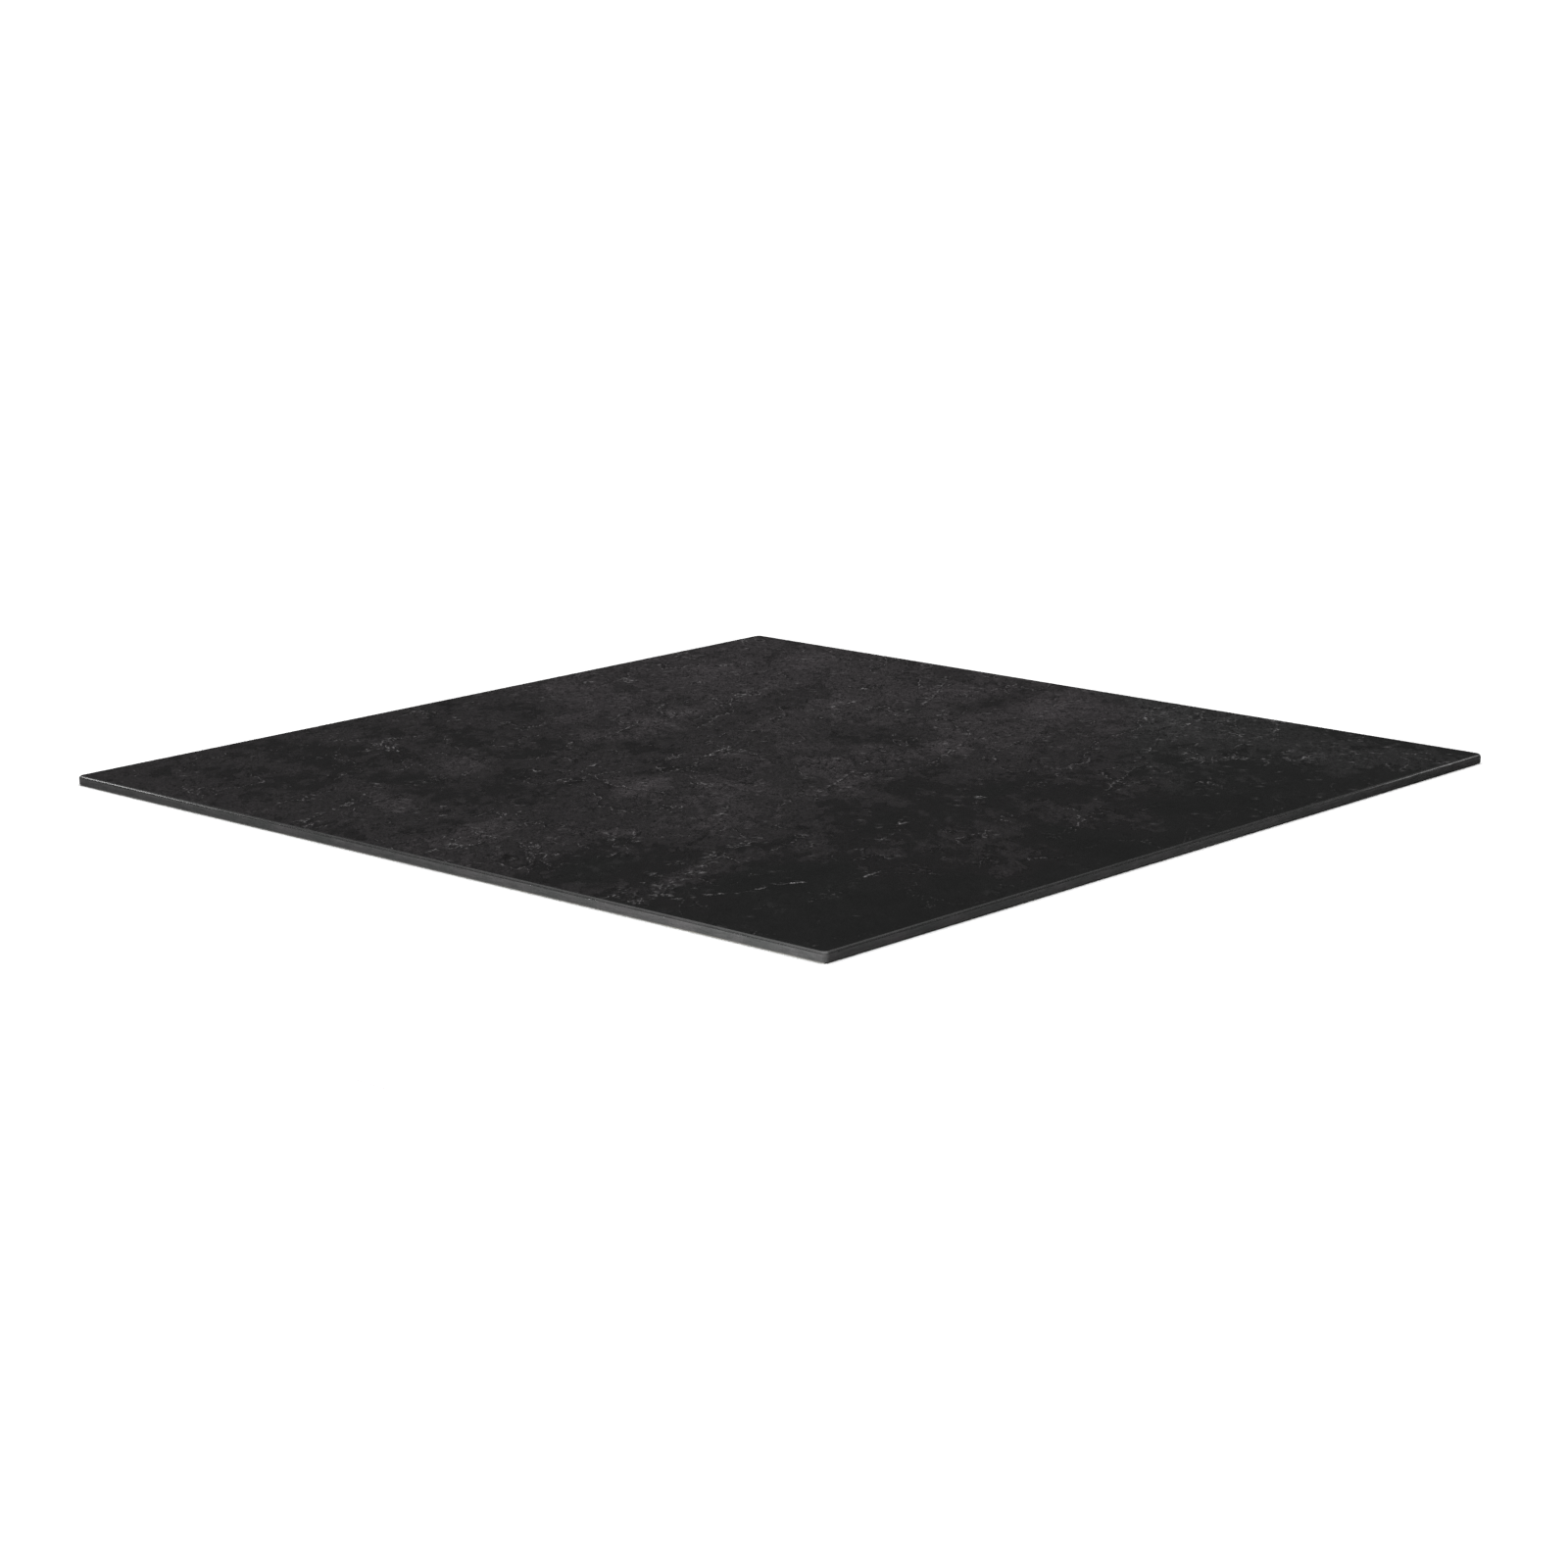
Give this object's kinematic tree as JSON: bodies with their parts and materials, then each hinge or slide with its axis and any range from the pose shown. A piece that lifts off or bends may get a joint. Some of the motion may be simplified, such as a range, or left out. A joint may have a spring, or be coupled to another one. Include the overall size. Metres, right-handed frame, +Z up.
{
  "type": "granite slab",
  "caption": "Thin square dark grey granite slab with fine grain, faint veins and bevelled edges on a net-reinforced resin back, a flat hard work surface.",
  "frame": {"origin": "centre of the underside, where the slab rests on the bench", "axes": "+Z up through the thickness to the work face, +X and +Y along the two pairs of edges"},
  "size_m": [0.6, 0.6, 0.0062],
  "materials": {
    "granite": "honed riven face with fine grain and low veins, satin ground edges",
    "backing_resin": "brushed-on cured epoxy",
    "net_glass_fibre": "white glass yarn wetted out with resin"
  },
  "bodies": {
    "root": {"granite_plate": "granite", "resin_coat": "backing_resin", "net_warp_yarns": "net_glass_fibre", "net_weft_yarns": "net_glass_fibre"}
  },
  "joints": []
}
